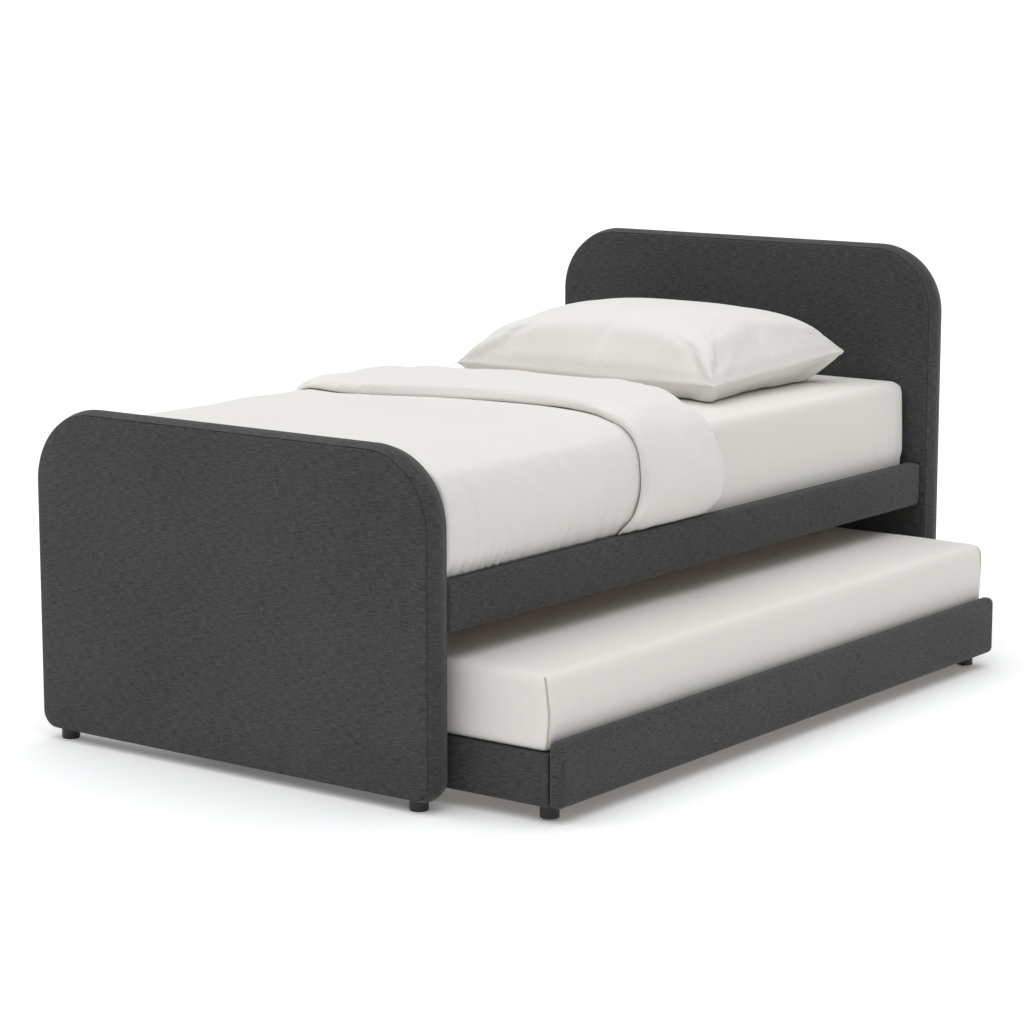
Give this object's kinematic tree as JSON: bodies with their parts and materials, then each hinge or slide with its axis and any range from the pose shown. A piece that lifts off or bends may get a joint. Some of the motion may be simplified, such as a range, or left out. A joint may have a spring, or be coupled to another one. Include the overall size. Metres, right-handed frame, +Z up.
{
  "type": "trundle bed",
  "caption": "Single upholstered bed with rounded headboard and footboard, made up with bedding, and a low mattress trundle on rollers that slides out from under one side.",
  "frame": {"origin": "on the floor, under the middle of the whole object's bounding box with the trundle partly pulled out", "axes": "+Z up, +Y from the footboard to the headboard, +X across the bed towards the side the trundle rolls out of"},
  "size_m": [1.357, 2.045, 0.997],
  "materials": {
    "charcoal_fabric": "fine plain-weave upholstery cloth, charcoal grey, matt",
    "upholstery_foam": "polyurethane foam with wadding",
    "plywood": "raw birch plywood",
    "softwood": "planed pine, unfinished",
    "white_cotton": "off-white fitted sheet, fine cotton weave",
    "white_cotton_bedding": "off-white duvet and pillow covers, soft cotton",
    "mattress_ticking": "quilted knitted ticking",
    "zinc_steel": "bright zinc-plated steel",
    "black_plastic": "black moulded plastic, satin",
    "wheel_plastic": "black nylon wheel",
    "felt_pad": "hard black rubber glide",
    "webbing": "woven polyester webbing"
  },
  "bodies": {
    "bed_frame": {"bracket_bolts": "zinc_steel", "duvet": "white_cotton_bedding", "fitted_sheet": "white_cotton", "foot_pads": "felt_pad", "foot_studs": "zinc_steel", "footboard_board": "plywood", "footboard_cover": "charcoal_fabric", "footboard_foot_left": "black_plastic", "footboard_foot_right": "black_plastic", "footboard_padding": "upholstery_foam", "headboard_board": "plywood", "headboard_cover": "charcoal_fabric", "headboard_foot_left": "black_plastic", "headboard_foot_right": "black_plastic", "headboard_padding": "upholstery_foam", "insert_nuts": "zinc_steel", "left_rail_beam": "softwood", "left_rail_cover": "charcoal_fabric", "left_rail_padding": "upholstery_foam", "left_slat_ledge": "softwood", "mattress": "mattress_ticking", "pillow": "white_cotton_bedding", "rail_brackets": "zinc_steel", "right_rail_beam": "softwood", "right_rail_cover": "charcoal_fabric", "right_rail_padding": "upholstery_foam", "right_slat_ledge": "softwood", "slat_01": "plywood", "slat_02": "plywood", "slat_03": "plywood", "slat_04": "plywood", "slat_05": "plywood", "slat_06": "plywood", "slat_07": "plywood", "slat_08": "plywood", "slat_09": "plywood", "slat_10": "plywood", "slat_straps": "webbing"},
    "trundle": {"roller_axles": "zinc_steel", "roller_hoods": "black_plastic", "trundle_back_rail_beam": "softwood", "trundle_back_rail_cover": "charcoal_fabric", "trundle_centre_bearer": "softwood", "trundle_corner_blocks": "softwood", "trundle_fascia_beam": "softwood", "trundle_fascia_cover": "charcoal_fabric", "trundle_fascia_padding": "upholstery_foam", "trundle_fitted_sheet": "white_cotton", "trundle_foot_rail_beam": "softwood", "trundle_foot_rail_cover": "charcoal_fabric", "trundle_head_rail_beam": "softwood", "trundle_head_rail_cover": "charcoal_fabric", "trundle_mattress": "mattress_ticking", "trundle_screws": "zinc_steel", "trundle_slat_ledges": "softwood", "trundle_slats": "plywood"},
    "roller_wheel_foot_back": {"roller_wheel_foot_back": "wheel_plastic"},
    "roller_wheel_foot_front": {"roller_wheel_foot_front": "wheel_plastic"},
    "roller_wheel_head_back": {"roller_wheel_head_back": "wheel_plastic"},
    "roller_wheel_head_front": {"roller_wheel_head_front": "wheel_plastic"}
  },
  "joints": [
    {"name": "trundle_slide", "type": "slide", "parent": "bed_frame", "child": "trundle", "axis": [1, 0, 0], "range_m": [-0.255, 0.78]},
    {"name": "roller_spin_foot_back", "type": "hinge", "parent": "trundle", "child": "roller_wheel_foot_back", "pos_m": [-0.2535, -0.8805, 0.014], "axis": [0, 1, 0], "continuous": true},
    {"name": "roller_spin_foot_front", "type": "hinge", "parent": "trundle", "child": "roller_wheel_foot_front", "pos_m": [0.6205, -0.8805, 0.014], "axis": [0, 1, 0], "continuous": true},
    {"name": "roller_spin_head_back", "type": "hinge", "parent": "trundle", "child": "roller_wheel_head_back", "pos_m": [-0.2535, 0.8335, 0.014], "axis": [0, 1, 0], "continuous": true},
    {"name": "roller_spin_head_front", "type": "hinge", "parent": "trundle", "child": "roller_wheel_head_front", "pos_m": [0.6205, 0.8335, 0.014], "axis": [0, 1, 0], "continuous": true}
  ],
  "couplings": [
    {"joint": "roller_spin_foot_back", "follows": "trundle_slide", "rad_per_m": 71.429},
    {"joint": "roller_spin_foot_front", "follows": "trundle_slide", "rad_per_m": 71.429},
    {"joint": "roller_spin_head_back", "follows": "trundle_slide", "rad_per_m": 71.429},
    {"joint": "roller_spin_head_front", "follows": "trundle_slide", "rad_per_m": 71.429}
  ]
}
